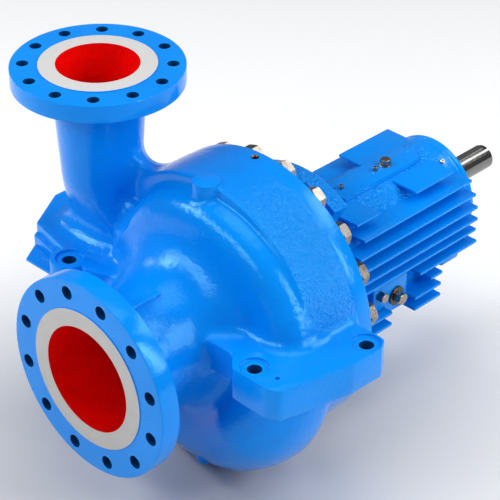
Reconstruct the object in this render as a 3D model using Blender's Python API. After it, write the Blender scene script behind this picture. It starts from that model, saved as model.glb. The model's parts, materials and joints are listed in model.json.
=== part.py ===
"""Overhung single-stage centrifugal pump, centreline mounted, end suction, top discharge.

Everything is laid out in shaft coordinates: the shaft axis is Y, the suction flange
face is at Y = 0 and the drive end is at +Y, X is to the right seen from the suction
end and Z is up. The whole pump then hangs from one empty that puts the origin on the
underside of the right foot, where the pump is bolted to its pedestal.
"""
import math

import bmesh
import bpy
from mathutils import Matrix, Vector

# All sizes are metres.
SEAT_GAP = 0.0003
RUNNING_GAP = 0.0006
IMPELLER_GAP = 0.005
SLIVER = 0.00002
ROUND_SEGMENTS = 48
SMALL_SEGMENTS = 32
HOLE_SEGMENTS = 12

# Suction flange and nozzle, an eight inch class 300 flange
SUCTION_FLANGE_RADIUS = 0.1905
SUCTION_FLANGE_THICKNESS = 0.0413
SUCTION_FACE_RADIUS = 0.135
SUCTION_BOLT_CIRCLE = 0.1651
SUCTION_BOLT_HOLE = 0.0127
SUCTION_BORE = 0.1016
SUCTION_NOZZLE_RADIUS = 0.122

# Discharge flange and neck, a six inch class 300 flange
DISCHARGE_X = -0.2753
DISCHARGE_Y = 0.2908
DISCHARGE_Z = 0.4047
DISCHARGE_FLANGE_RADIUS = 0.15875
DISCHARGE_FLANGE_THICKNESS = 0.0366
DISCHARGE_FACE_RADIUS = 0.108
DISCHARGE_BOLT_CIRCLE = 0.1349
DISCHARGE_BOLT_HOLE = 0.0111
DISCHARGE_BORE = 0.0765
NECK_TOP_RADIUS = 0.0905
NECK_FOOT_RADIUS = 0.0715
NECK_FOOT_Z = 0.135
NECK_FOOT_END_Z = -0.02
THROAT_RADIUS = 0.052
FLANGE_HOLES = 12
RAISED_FACE = 0.0016

# Drum that takes the impeller and the cover
DRUM_FRONT_Y = 0.292
DRUM_REAR_Y = 0.402
DRUM_RADIUS = 0.271
DRUM_WALL_RADIUS = 0.216

# Volute sections at clock angles counted from the top, seen from the suction end:
# clock angle, outer radius, height of the outer half, reach to the front, squareness
VOLUTE_STATIONS = ((-80, 0.245, 0.070, 0.064, 4.0), (0, 0.250, 0.070, 0.064, 4.0),
                   (60, 0.272, 0.070, 0.064, 4.0), (75, 0.280, 0.072, 0.064, 3.6),
                   (100, 0.287, 0.085, 0.095, 2.6), (128, 0.303, 0.100, 0.128, 2.1),
                   (150, 0.309, 0.100, 0.116, 2.0), (170, 0.311, 0.100, 0.100, 2.0),
                   (200, 0.316, 0.100, 0.085, 2.0), (235, 0.328, 0.100, 0.080, 2.0),
                   (270, 0.343, 0.100, 0.080, 2.0))
VOLUTE_TONGUE_DEG = -46
VOLUTE_Y = 0.297
VOLUTE_REAR = 0.072
VOLUTE_INNER_RADIUS = 0.118
VOLUTE_WALL = 0.016
VOLUTE_STEP_DEG = 10
VOLUTE_SECTION_POINTS = 20

# Feet on the shaft centreline
FOOT_TOP = 0.062
FOOT_BOTTOM = -0.004
FOOT_PAD = 0.003
FOOT_HOLE_RADIUS = 0.013
FOOT_SPOT_RADIUS = 0.027
FOOT_SPOT_DEPTH = 0.004
FOOT_FRONT_HOLE = (0.238, 0.171)
FOOT_REAR_HOLE = (0.325, 0.357)
FOOT_ORIGIN = (0.305, 0.262)
DOWEL_RADIUS = 0.004
DOWEL_HOLE = (0.288, 0.175)

# Cover, seal and bearing housing
COVER_RADIUS = 0.270
COVER_FRONT_Y = 0.360
COVER_BACK_Y = 0.436
COVER_EYE_HOLE = (-0.005, 0.417)
GLAND_RADIUS = 0.075
HOUSING_REAR_Y = 0.893
ADAPTER_FLANGE_RADIUS = 0.222
ADAPTER_FLANGE_THICKNESS = 0.022
ADAPTER_NECK_RADIUS = 0.190
ADAPTER_NECK_END_Y = 0.503
ADAPTER_RADIUS = 0.2005
ADAPTER_REAR_Y = 0.540
ADAPTER_WALL = 0.018
ADAPTER_WINDOW_CLOCK_DEG = 33.5
BARREL_FRONT_Y = 0.545
BARREL_RADIUS = 0.106
FIN_CIRCLE = 0.1415
FIN_PITCH = 0.0255
FIN_TOP_Z = 0.100
FIN_THICKNESS = 0.006
FIN_PLANE_Z = -0.050
FIN_PLANE_X = 0.142
SUMP_HALF_WIDTH = 0.100
SUMP_BOTTOM_Z = -0.150
SIDE_PAD_X = 0.126
TOP_STRIP_Z = 0.1086
TOP_STRIP_HALF_WIDTH = 0.030
TOP_STRIP_FRONT_Y = 0.622
TOP_STRIP_REAR_Y = 0.853
END_COVER_RADIUS = 0.109
END_COVER_THICKNESS = 0.021
END_BOSS_RADIUS = 0.091
END_BOSS_THICKNESS = 0.017

# Rotor
SHAFT_END_Y = 1.080
SHAFT_END_RADIUS = 0.025
SHAFT_BODY_RADIUS = 0.030
SLEEVE_RADIUS = 0.034
IMPELLER_RADIUS = 0.190
IMPELLER_EYE_RADIUS = 0.088
IMPELLER_BACK_Y = 0.335
IMPELLER_BLADES = 6
KEY_WIDTH = 0.014
KEY_HEIGHT = 0.009

PAINT = (0.012, 0.290, 0.860)
STEEL = (0.560, 0.550, 0.530)
BRONZE = (0.500, 0.330, 0.130)


def clear_scene():
    for old in list(bpy.data.objects):
        bpy.data.objects.remove(old)


def finish_of(name, colour, roughness, metallic):
    finish = bpy.data.materials.new(name)
    finish.use_nodes = True
    shader = finish.node_tree.nodes["Principled BSDF"]
    shader.inputs["Base Color"].default_value = (*colour, 1)
    shader.inputs["Roughness"].default_value = roughness
    shader.inputs["Metallic"].default_value = metallic
    return finish


def painted(name):
    return finish_of(name, PAINT, 0.25, 0.0)


def steel(name):
    return finish_of(name, STEEL, 0.30, 1.0)


def to_object(name, mesh_editor):
    """Turn a bmesh into an object with its faces pointing out."""
    bmesh.ops.recalc_face_normals(mesh_editor, faces=mesh_editor.faces)
    mesh = bpy.data.meshes.new(name)
    mesh_editor.to_mesh(mesh)
    mesh_editor.free()
    body = bpy.data.objects.new(name, mesh)
    bpy.context.collection.objects.link(body)
    return body


def close_slivers(mesh):
    """Close the needle-thin faces that a cut can leave."""
    editor = bmesh.new()
    editor.from_mesh(mesh)
    bmesh.ops.remove_doubles(editor, verts=editor.verts, dist=SLIVER)
    bmesh.ops.dissolve_degenerate(editor, edges=editor.edges, dist=SLIVER)
    editor.to_mesh(mesh)
    editor.free()


def combine(body, tool, operation):
    """Join one closed object to another, or cut it away, and drop the tool."""
    step = body.modifiers.new(operation.lower(), "BOOLEAN")
    step.operation = operation
    step.solver = "EXACT"
    step.object = tool
    graph = bpy.context.evaluated_depsgraph_get()
    result = bpy.data.meshes.new_from_object(body.evaluated_get(graph))
    close_slivers(result)
    body.modifiers.remove(step)
    before = body.data
    body.data = result
    bpy.data.meshes.remove(before)
    bpy.data.objects.remove(tool)
    return body


def join(body, *tools):
    for tool in tools:
        combine(body, tool, "UNION")
    return body


def cut(body, *tools):
    for tool in tools:
        combine(body, tool, "DIFFERENCE")
    return body


def turned(name, profile, segments=ROUND_SEGMENTS):
    """A solid of revolution about the shaft axis from (radius, Y) points."""
    editor = bmesh.new()
    line = [editor.verts.new((radius, y, 0)) for radius, y in profile]
    closed = line + [line[0]]
    edges = []
    for first, second in zip(closed, closed[1:]):
        if first.co.x > 0 or second.co.x > 0:
            edges.append(editor.edges.new((first, second)))
    bmesh.ops.spin(editor, geom=line + edges, axis=(0, 1, 0), cent=(0, 0, 0),
                   angle=math.tau, steps=segments, use_merge=True)
    bmesh.ops.remove_doubles(editor, verts=editor.verts, dist=1e-6)
    return to_object(name, editor)


def upright(name, profile, centre, segments=ROUND_SEGMENTS):
    """A solid of revolution about a vertical axis from (radius, Z) points."""
    body = turned(name, [(radius, z) for radius, z in profile], segments)
    stand = Matrix.Translation((*centre, 0)) @ Matrix.Rotation(math.pi / 2, 4, "X")
    body.data.transform(stand)
    return body


def bundle(name, pieces):
    """Several pieces that don't touch in one mesh, used as one cutter."""
    editor = bmesh.new()
    for piece in pieces:
        editor.from_mesh(piece.data)
        bpy.data.objects.remove(piece)
    return to_object(name, editor)


def rod(name, start, end, radius, segments=24, end_radius=None):
    """A round bar or cone from one point to another."""
    start, end = Vector(start), Vector(end)
    along = end - start
    editor = bmesh.new()
    turn = along.to_track_quat("Z", "Y").to_matrix().to_4x4()
    place = Matrix.Translation((start + end) / 2) @ turn
    bmesh.ops.create_cone(editor, cap_ends=True, segments=segments, radius1=radius,
                          radius2=radius if end_radius is None else end_radius,
                          depth=along.length, matrix=place)
    return to_object(name, editor)


def block(name, low, high):
    low, high = Vector(low), Vector(high)
    editor = bmesh.new()
    size = Matrix.Diagonal((*(high - low), 1))
    bmesh.ops.create_cube(editor, size=1, matrix=Matrix.Translation((low + high) / 2) @ size)
    return to_object(name, editor)


def plate(name, outline, bottom, top, corner=0.0):
    """A flat plate with a hand-drawn outline in X and Y and rounded corners."""
    editor = bmesh.new()
    ring = [editor.verts.new((x, y, bottom)) for x, y in outline]
    face = editor.faces.new(ring)
    raised = bmesh.ops.extrude_face_region(editor, geom=[face])
    lifted = [item for item in raised["geom"] if isinstance(item, bmesh.types.BMVert)]
    bmesh.ops.translate(editor, verts=lifted, vec=(0, 0, top - bottom))
    if corner:
        upright = [edge for edge in editor.edges
                   if abs(edge.verts[0].co.z - edge.verts[1].co.z) > (top - bottom) / 2]
        bmesh.ops.bevel(editor, geom=upright, offset=corner, segments=4, profile=0.5,
                        affect="EDGES", clamp_overlap=True, material=-1)
    return to_object(name, editor)


def round_shading(body, sharp_angle_deg=30):
    body.data.shade_smooth()
    body.data.set_sharp_from_angle(angle=math.radians(sharp_angle_deg))


def place_part(body, parent, finish, smooth=True):
    """Hang a finished part from its parent without moving it."""
    if smooth:
        round_shading(body)
    body.data.materials.clear()
    body.data.materials.append(finish)
    body.parent = parent
    return body


def volute_station(clock_deg):
    """Outer radius, height, front reach and squareness, eased from station to station."""
    for near, far in zip(VOLUTE_STATIONS, VOLUTE_STATIONS[1:]):
        if clock_deg <= far[0]:
            share = (clock_deg - near[0]) / (far[0] - near[0])
            return [a + (b - a) * share for a, b in zip(near[1:], far[1:])]
    return VOLUTE_STATIONS[-1][1:]


def rounded(share, squareness):
    """Sine or cosine of a circle, pushed out towards a square."""
    return math.copysign(abs(share) ** (2 / squareness), share)


def volute_section(clock_deg, inset):
    """Ring of points of the volute's cross-section at one clock angle."""
    outer, height, front, squareness = volute_station(clock_deg)
    middle = outer - height
    inner_height = middle - VOLUTE_INNER_RADIUS - 2 * inset
    clock = math.radians(clock_deg)
    points = []
    for step in range(VOLUTE_SECTION_POINTS):
        turn = math.tau * step / VOLUTE_SECTION_POINTS
        to_front = math.cos(turn) < 0
        along = rounded(math.cos(turn), squareness if to_front else 2)
        across = rounded(math.sin(turn), squareness if to_front else 2)
        y = VOLUTE_Y + ((front if to_front else VOLUTE_REAR) - inset) * along
        radius = middle + (height - inset if across > 0 else inner_height) * across
        points.append((radius * math.sin(clock), y, radius * math.cos(clock)))
    return points


def volute_body(name, inset, first):
    """The spiral body, lofted through its sections and closed at both ends."""
    last = VOLUTE_STATIONS[-1][0]
    count = round((last - first) / VOLUTE_STEP_DEG)
    editor = bmesh.new()
    rings = []
    for index in range(count + 1):
        angle = first + (last - first) * index / count
        ring = [editor.verts.new(point) for point in volute_section(angle, inset)]
        rings.append(ring)
    for near, far in zip(rings, rings[1:]):
        for index in range(VOLUTE_SECTION_POINTS):
            following = (index + 1) % VOLUTE_SECTION_POINTS
            editor.faces.new((near[index], near[following], far[following], far[index]))
    editor.faces.new(list(reversed(rings[0])))
    editor.faces.new(rings[-1])
    return to_object(name, editor)


def clock_point(radius, clock_deg, y):
    clock = math.radians(clock_deg)
    return Vector((radius * math.sin(clock), y, radius * math.cos(clock)))


def suction_and_drum(name):
    """Suction flange, nozzle and drum, turned in one about the shaft axis."""
    neck = SUCTION_NOZZLE_RADIUS
    flange_back = SUCTION_FLANGE_THICKNESS
    profile = [(0, 0), (SUCTION_FACE_RADIUS, 0), (SUCTION_FACE_RADIUS, RAISED_FACE),
               (SUCTION_FLANGE_RADIUS, RAISED_FACE), (SUCTION_FLANGE_RADIUS, flange_back),
               (neck + 0.006, flange_back), (neck, flange_back + 0.008), (neck - 0.002, 0.12),
               (0.124, 0.165), (0.138, 0.197), (0.152, 0.217), (0.168, 0.230), (0.180, 0.245),
               (0.200, 0.262), (0.205, DRUM_FRONT_Y),
               (DRUM_RADIUS - 0.004, DRUM_FRONT_Y), (DRUM_RADIUS, DRUM_FRONT_Y + 0.004),
               (DRUM_RADIUS, DRUM_REAR_Y), (0, DRUM_REAR_Y)]
    return turned(name, profile)


def discharge_end(name):
    """Discharge flange on a neck that narrows down into the volute's end."""
    under = DISCHARGE_Z - DISCHARGE_FLANGE_THICKNESS
    shoulder = DISCHARGE_Z - RAISED_FACE
    profile = [(0, DISCHARGE_Z), (DISCHARGE_FACE_RADIUS, DISCHARGE_Z),
               (DISCHARGE_FACE_RADIUS, shoulder), (DISCHARGE_FLANGE_RADIUS, shoulder),
               (DISCHARGE_FLANGE_RADIUS, under), (NECK_TOP_RADIUS + 0.005, under),
               (NECK_TOP_RADIUS, under - 0.008), (NECK_FOOT_RADIUS, NECK_FOOT_Z),
               (NECK_FOOT_RADIUS - 0.001, NECK_FOOT_END_Z), (0, NECK_FOOT_END_Z)]
    return upright(name, profile, (DISCHARGE_X, DISCHARGE_Y))


def nozzle_pad():
    return block("pad", (-0.012, 0.055, 0.05), (0.032, 0.150, SUCTION_NOZZLE_RADIUS + 0.005))


def right_foot(body):
    """The right foot, with a machined pad on its underside."""
    outline = [(0.10, 0.171), (0.185, 0.171), (0.204, 0.150), (0.216, 0.1405), (0.293, 0.140),
               (0.317, 0.150), (0.352, 0.295), (0.354, 0.365), (0.342, 0.386), (0.315, 0.389),
               (0.10, 0.389)]
    pad = [(0.210, 0.150), (0.220, 0.1455), (0.291, 0.145), (0.313, 0.153), (0.347, 0.295),
           (0.349, 0.365), (0.338, 0.382), (0.298, 0.384), (0.294, 0.210), (0.280, 0.194),
           (0.210, 0.194)]
    return join(body, plate("foot", outline, FOOT_BOTTOM + FOOT_PAD, FOOT_TOP, 0.006),
                plate("pad", pad, FOOT_BOTTOM, FOOT_BOTTOM + FOOT_PAD + 0.002))


def left_foot(body):
    """The left foot steps down and out in thin ledges over its base."""
    top = [(-0.10, 0.20), (-0.190, 0.165), (-0.374, 0.2075), (-0.426, 0.298),
           (-0.425, 0.380), (-0.300, 0.389), (-0.10, 0.389)]
    middle = [(-0.10, 0.20), (-0.190, 0.160), (-0.370, 0.1975), (-0.424, 0.298),
              (-0.423, 0.380), (-0.300, 0.388), (-0.10, 0.388)]
    ledge = [(-0.10, 0.20), (-0.200, 0.155), (-0.345, 0.155), (-0.370, 0.1975),
             (-0.424, 0.298), (-0.423, 0.380), (-0.300, 0.388), (-0.10, 0.388)]
    base = [(-0.10, 0.20), (-0.205, 0.150), (-0.262, 0.150), (-0.300, 0.200), (-0.410, 0.330),
            (-0.405, 0.375), (-0.300, 0.387), (-0.10, 0.387)]
    boss = rod("boss", (-FOOT_FRONT_HOLE[0], FOOT_FRONT_HOLE[1], FOOT_BOTTOM),
               (-FOOT_FRONT_HOLE[0], FOOT_FRONT_HOLE[1], FOOT_TOP), 0.036, 32)
    return join(body, plate("base", base, FOOT_BOTTOM, 0.014), plate("ledge", ledge, 0.012, 0.018),
                plate("middle", middle, 0.017, 0.040), plate("top", top, 0.039, FOOT_TOP), boss)


def foot_holes():
    """Bolt holes with spot faces in both feet, and a dowel hole in the right one."""
    floor = FOOT_TOP - FOOT_SPOT_DEPTH
    profile = [(0, FOOT_BOTTOM - 0.01), (FOOT_HOLE_RADIUS, FOOT_BOTTOM - 0.01),
               (FOOT_HOLE_RADIUS, floor), (FOOT_SPOT_RADIUS, floor),
               (FOOT_SPOT_RADIUS, FOOT_TOP + 0.03), (0, FOOT_TOP + 0.03)]
    holes = [upright("hole", profile, (side * x, y), 20)
             for side in (1, -1) for x, y in (FOOT_FRONT_HOLE, FOOT_REAR_HOLE)]
    x, y = DOWEL_HOLE
    dowel = rod("dowel", (x, y, FOOT_TOP - 0.03), (x, y, FOOT_TOP + 0.01), DOWEL_RADIUS, HOLE_SEGMENTS)
    return holes + [dowel]


def bosses(body):
    """Round boss on top, plain boss at the bottom of the volute."""
    top = rod("boss", (-0.012, 0.302, 0.19), (-0.012, 0.302, 0.269), 0.028, 28)
    low = rod("boss", clock_point(0.20, 168, 0.231), clock_point(0.270, 168, 0.231), 0.020, 24)
    return join(body, top, low)


def flange_holes():
    """Both rings of bolt holes, straddling the centrelines."""
    under = DISCHARGE_Z - DISCHARGE_FLANGE_THICKNESS
    holes = []
    for index in range(FLANGE_HOLES):
        clock = 15 + 30 * index
        x, _, z = clock_point(SUCTION_BOLT_CIRCLE, clock, 0)
        holes.append(rod("hole", (x, -0.01, z), (x, SUCTION_FLANGE_THICKNESS + 0.006, z),
                         SUCTION_BOLT_HOLE, HOLE_SEGMENTS))
        dx, _, dy = clock_point(DISCHARGE_BOLT_CIRCLE, clock, 0)
        x, y = DISCHARGE_X + dx, DISCHARGE_Y + dy
        holes.append(rod("hole", (x, y, under - 0.006), (x, y, DISCHARGE_Z + 0.01),
                         DISCHARGE_BOLT_HOLE, HOLE_SEGMENTS))
    return holes


def water_way():
    """Suction bore, impeller chamber, volute passage and discharge bore as one core."""
    chamber_radius = IMPELLER_RADIUS + 0.008
    profile = [(0, -0.01), (SUCTION_BORE, -0.01), (SUCTION_BORE, 0.240), (0.108, 0.244),
               (chamber_radius, 0.262), (chamber_radius, COVER_FRONT_Y - 0.004),
               (DRUM_WALL_RADIUS, COVER_FRONT_Y), (DRUM_WALL_RADIUS, DRUM_REAR_Y + 0.01),
               (0, DRUM_REAR_Y + 0.01)]
    chamber = turned("core", profile)
    bore = [(0, -0.012), (THROAT_RADIUS, -0.012), (THROAT_RADIUS + 0.002, NECK_FOOT_Z),
            (DISCHARGE_BORE, DISCHARGE_Z - 0.02), (DISCHARGE_BORE, DISCHARGE_Z + 0.01),
            (0, DISCHARGE_Z + 0.01)]
    discharge = upright("bore", bore, (DISCHARGE_X, DISCHARGE_Y), SMALL_SEGMENTS)
    return join(chamber, volute_body("passage", VOLUTE_WALL, VOLUTE_TONGUE_DEG), discharge)


def volute_casing(parent):
    """The one-piece casting: drum, volute, both nozzles and both feet."""
    body = suction_and_drum("volute_casing")
    join(body, volute_body("volute", 0.0, VOLUTE_STATIONS[0][0]), discharge_end("neck"), nozzle_pad())
    right_foot(body)
    left_foot(body)
    bosses(body)
    cut(body, bundle("openings", [water_way()] + foot_holes() + flange_holes()))
    return place_part(body, parent, painted("casing_paint"))


def case_wear_ring(parent):
    outer = SUCTION_BORE - SEAT_GAP
    inner = IMPELLER_EYE_RADIUS + IMPELLER_GAP
    ring = turned("case_wear_ring", [(inner, 0.207), (outer, 0.207), (outer, 0.232), (inner, 0.232)])
    return place_part(ring, parent, finish_of("wear_ring_bronze", BRONZE, 0.35, 1.0))


def casing_cover(parent):
    """Cover behind the impeller: a spigot in the drum and a rim as wide as the drum."""
    face = DRUM_REAR_Y + SEAT_GAP
    spigot = DRUM_WALL_RADIUS - SEAT_GAP
    bore = SLEEVE_RADIUS + RUNNING_GAP
    profile = [(bore, COVER_FRONT_Y), (spigot, COVER_FRONT_Y), (spigot, face),
               (COVER_RADIUS, face), (COVER_RADIUS, COVER_BACK_Y), (bore, COVER_BACK_Y)]
    body = turned("casing_cover", profile)
    x, y = COVER_EYE_HOLE
    cut(body, rod("eye_hole", (x, y, COVER_RADIUS - 0.016), (x, y, COVER_RADIUS + 0.01), 0.004, HOLE_SEGMENTS))
    return place_part(body, parent, painted("cover_paint"))


def seal_gland(parent):
    face = COVER_BACK_Y + SEAT_GAP
    bore = SLEEVE_RADIUS + RUNNING_GAP
    profile = [(bore, face), (GLAND_RADIUS, face), (GLAND_RADIUS, face + 0.018), (0.058, face + 0.018),
               (0.058, face + 0.026), (bore, face + 0.026)]
    return place_part(turned("seal_gland", profile), parent, steel("gland_steel"))


def fin_half_width(z):
    """Fin tips lie on one circle above the sump, and in one upright plane beside it."""
    if z < FIN_PLANE_Z:
        return FIN_PLANE_X
    return math.sqrt(FIN_CIRCLE ** 2 - z ** 2)


def full_fin(z, front_y, rear_y):
    reach = fin_half_width(z)
    return block("fin", (-reach, front_y, z - FIN_THICKNESS), (reach, rear_y, z))


def housing_fins():
    """Flat horizontal cooling fins, cut short on top and around the plug pads."""
    back = HOUSING_REAR_Y - 0.001
    spans = [(FIN_TOP_Z, 0.747, back), (FIN_TOP_Z, 0.580, 0.643), (FIN_TOP_Z - FIN_PITCH, 0.580, back)]
    for index in range(2, 6):
        spans.append((FIN_TOP_Z - index * FIN_PITCH, 0.557, back))
    spans.append((FIN_TOP_Z - 6 * FIN_PITCH, 0.722, back))
    spans.append((FIN_TOP_Z - 7 * FIN_PITCH, 0.755, 0.790))
    for index in (8, 9):
        spans.append((FIN_TOP_Z - index * FIN_PITCH, 0.710, 0.788))
    spans.append((FIN_TOP_Z - 7 * FIN_PITCH, 0.557, 0.598))
    for index in (8, 9):
        spans.append((FIN_TOP_Z - index * FIN_PITCH, 0.557, 0.645))
    return [full_fin(*span) for span in spans]


def top_strip():
    """Machined strip along the top of the housing with a round rear end."""
    half = TOP_STRIP_HALF_WIDTH
    centre = TOP_STRIP_REAR_Y - half
    outline = [(-half, TOP_STRIP_FRONT_Y), (half, TOP_STRIP_FRONT_Y)]
    for step in range(9):
        turn = math.pi * step / 8
        outline.append((half * math.cos(turn), centre + half * math.sin(turn)))
    return plate("strip", outline, 0.06, TOP_STRIP_Z)


def adapter(name):
    """Flange on the cover and the drum behind it, open on both sides over the shaft seal."""
    front = COVER_BACK_Y + SEAT_GAP
    flange_back = front + ADAPTER_FLANGE_THICKNESS
    flange_bore = GLAND_RADIUS + 0.010
    inside = ADAPTER_RADIUS - ADAPTER_WALL - 0.007
    collar = BARREL_RADIUS - 0.018
    wall_front = ADAPTER_REAR_Y - ADAPTER_WALL
    drum = turned(name, [(flange_bore, front), (ADAPTER_FLANGE_RADIUS, front),
                         (ADAPTER_FLANGE_RADIUS, flange_back), (ADAPTER_NECK_RADIUS, flange_back),
                         (ADAPTER_NECK_RADIUS, ADAPTER_NECK_END_Y), (ADAPTER_RADIUS, ADAPTER_NECK_END_Y),
                         (ADAPTER_RADIUS, ADAPTER_REAR_Y), (BARREL_RADIUS, ADAPTER_REAR_Y),
                         (BARREL_RADIUS, BARREL_FRONT_Y + 0.012), (collar, BARREL_FRONT_Y + 0.012),
                         (collar, wall_front), (inside, wall_front), (inside, flange_back),
                         (flange_bore, flange_back)])
    reach = ADAPTER_FLANGE_RADIUS + 0.04
    edge = clock_point(reach, ADAPTER_WINDOW_CLOCK_DEG, 0)
    windows = []
    for side in (1, -1):
        outline = [(side * 0.010, 0), (side * edge.x, edge.z), (side * reach, edge.z),
                   (side * reach, -edge.z), (side * edge.x, -edge.z)]
        window = plate("window", outline, flange_back, ADAPTER_REAR_Y + 0.002)
        window.data.transform(Matrix.Rotation(-math.pi / 2, 4, "X"))
        windows.append(window)
    return cut(drum, bundle("windows", windows))


def bearing_housing(parent):
    """Bearing housing cast in one with the adapter that carries it on the cover."""
    barrel = turned("barrel", [(0, BARREL_FRONT_Y), (BARREL_RADIUS, BARREL_FRONT_Y),
                               (BARREL_RADIUS, HOUSING_REAR_Y), (0, HOUSING_REAR_Y)])
    body = join(adapter("bearing_housing"), barrel, *housing_fins(), top_strip())
    sump = block("sump", (-SUMP_HALF_WIDTH, 0.570, SUMP_BOTTOM_Z), (SUMP_HALF_WIDTH, 0.780, -0.012))
    pads = block("pad", (-SIDE_PAD_X, 0.6055, -0.101), (SIDE_PAD_X, 0.7025, -0.050))
    lugs = block("lug", (-0.120, 0.812, -0.091), (0.120, 0.864, -0.041))
    join(body, sump, pads, lugs)
    bore = SHAFT_BODY_RADIUS + RUNNING_GAP
    cut(body, rod("bore", (0, BARREL_FRONT_Y - 0.02, 0), (0, HOUSING_REAR_Y + 0.01, 0), bore, ROUND_SEGMENTS))
    return place_part(body, parent, painted("housing_paint"))


def drive_end_cover(parent):
    face = HOUSING_REAR_Y + SEAT_GAP
    step = face + END_COVER_THICKNESS
    back = step + END_BOSS_THICKNESS
    bore = SHAFT_BODY_RADIUS + RUNNING_GAP
    profile = [(bore, face), (END_COVER_RADIUS, face), (END_COVER_RADIUS, step - 0.003),
               (END_COVER_RADIUS - 0.003, step), (END_BOSS_RADIUS, step),
               (END_BOSS_RADIUS, back - 0.003), (END_BOSS_RADIUS - 0.003, back), (bore, back)]
    return place_part(turned("drive_end_cover", profile), parent, painted("end_cover_paint"))


def pump_end_cover(parent):
    face = BARREL_FRONT_Y - SEAT_GAP
    bore = SHAFT_BODY_RADIUS + RUNNING_GAP
    profile = [(bore, face - 0.012), (0.066, face - 0.012), (0.070, face - 0.008),
               (0.070, face), (bore, face)]
    return place_part(turned("pump_end_cover", profile), parent, painted("front_cover_paint"))


def oil_isolator(name, parent, start, end):
    inner = SHAFT_END_RADIUS + RUNNING_GAP if start > HOUSING_REAR_Y else SHAFT_BODY_RADIUS + RUNNING_GAP
    profile = [(inner, start), (0.046, start), (0.046, end - 0.002), (0.044, end), (inner, end)]
    return place_part(turned(name, profile, SMALL_SEGMENTS), parent, finish_of(name + "_bronze", BRONZE, 0.35, 1.0))


def hex_plug(name, parent, foot, direction, across_flats, height, washer=None):
    """Hexagon-headed plug standing on a face."""
    foot, direction = Vector(foot), Vector(direction).normalized()
    start = foot + direction * SEAT_GAP
    if washer:
        start += direction * (washer + SEAT_GAP)
    head = rod(name, start, start + direction * height, across_flats / math.sqrt(3), 6)
    return place_part(head, parent, steel(name + "_steel"), smooth=False)


def impeller(parent):
    """Closed impeller: hub, back shroud, front shroud with its eye ring, and blades."""
    hub = turned("impeller", [(0, 0.255), (0.030, 0.258), (0.042, 0.275), (0.070, 0.295),
                              (IMPELLER_RADIUS, 0.308), (IMPELLER_RADIUS, 0.316),
                              (0.060, 0.318), (0.050, IMPELLER_BACK_Y), (0, IMPELLER_BACK_Y)])
    inner = IMPELLER_EYE_RADIUS - 0.008
    shroud = turned("shroud", [(inner, 0.203), (IMPELLER_EYE_RADIUS, 0.203),
                               (IMPELLER_EYE_RADIUS, 0.236), (0.105, 0.250),
                               (IMPELLER_RADIUS, 0.271), (IMPELLER_RADIUS, 0.278),
                               (0.100, 0.258), (inner, 0.244)])
    for index in range(IMPELLER_BLADES):
        join(hub, impeller_blade(360 / IMPELLER_BLADES * index))
    join(hub, shroud)
    bore = SHAFT_END_RADIUS + SEAT_GAP
    cut(hub, rod("bore", (0, 0.24, 0), (0, IMPELLER_BACK_Y + 0.01, 0), bore, SMALL_SEGMENTS))
    return place_part(hub, parent, finish_of("impeller_steel", STEEL, 0.4, 1.0))


def impeller_blade(start_deg):
    """Backward-curved blade between the two shrouds, as one bent bar."""
    editor = bmesh.new()
    stations = 7
    rings = []
    for index in range(stations):
        share = index / (stations - 1)
        radius = 0.050 + (IMPELLER_RADIUS - 0.002 - 0.050) * share
        clock = start_deg - 70 * share
        front = 0.2407 + 0.0333 * share
        back = 0.296 + 0.016 * share
        ring = []
        for side in (-0.0025, 0.0025):
            turn = math.degrees(side / radius)
            ring.append(clock_point(radius, clock + turn, front))
            ring.append(clock_point(radius, clock + turn, back))
        ring = [ring[0], ring[1], ring[3], ring[2]]
        rings.append([editor.verts.new(point) for point in ring])
    for near, far in zip(rings, rings[1:]):
        for index in range(4):
            following = (index + 1) % 4
            editor.faces.new((near[index], near[following], far[following], far[index]))
    editor.faces.new(list(reversed(rings[0])))
    editor.faces.new(rings[-1])
    return to_object("blade", editor)


def shaft(parent):
    sleeve_end = 0.500
    thread = SHAFT_END_RADIUS - 0.007
    profile = [(0, 0.232), (thread, 0.232), (thread, 0.256), (SHAFT_END_RADIUS, 0.256),
               (SHAFT_END_RADIUS, sleeve_end + 0.02),
               (SHAFT_BODY_RADIUS, sleeve_end + 0.02), (SHAFT_BODY_RADIUS, 0.931),
               (SHAFT_END_RADIUS, 0.931), (SHAFT_END_RADIUS, SHAFT_END_Y - 0.002),
               (SHAFT_END_RADIUS - 0.002, SHAFT_END_Y), (0, SHAFT_END_Y)]
    body = turned("shaft", profile, SMALL_SEGMENTS)
    keyway = block("keyway", (-KEY_WIDTH / 2 - SEAT_GAP, 0.955, SHAFT_END_RADIUS - 0.0055),
                   (KEY_WIDTH / 2 + SEAT_GAP, SHAFT_END_Y - 0.014, SHAFT_END_RADIUS + 0.01))
    cut(body, keyway)
    return place_part(body, parent, steel("shaft_steel"))


def shaft_key(parent):
    bottom = SHAFT_END_RADIUS - 0.0055 + SEAT_GAP
    key = block("shaft_key", (-KEY_WIDTH / 2, 0.955 + SEAT_GAP, bottom),
                (KEY_WIDTH / 2, SHAFT_END_Y - 0.014 - SEAT_GAP, bottom + KEY_HEIGHT))
    return place_part(key, parent, steel("key_steel"), smooth=False)


def shaft_sleeve(parent):
    inner = SHAFT_END_RADIUS + SEAT_GAP
    start = IMPELLER_BACK_Y + SEAT_GAP
    profile = [(inner, start), (SLEEVE_RADIUS, start), (SLEEVE_RADIUS, 0.500), (inner, 0.500)]
    return place_part(turned("shaft_sleeve", profile, SMALL_SEGMENTS), parent, steel("sleeve_steel"))


def impeller_nut(parent):
    inner = SHAFT_END_RADIUS - 0.007 + SEAT_GAP
    start, end = 0.225, 0.255 - SEAT_GAP
    nut = rod("impeller_nut", (0, start, 0), (0, end, 0), 0.029, 6)
    cut(nut, rod("thread", (0, start + 0.005, 0), (0, end + 0.01, 0), inner, SMALL_SEGMENTS))
    return place_part(nut, parent, steel("nut_steel"), smooth=False)


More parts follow.
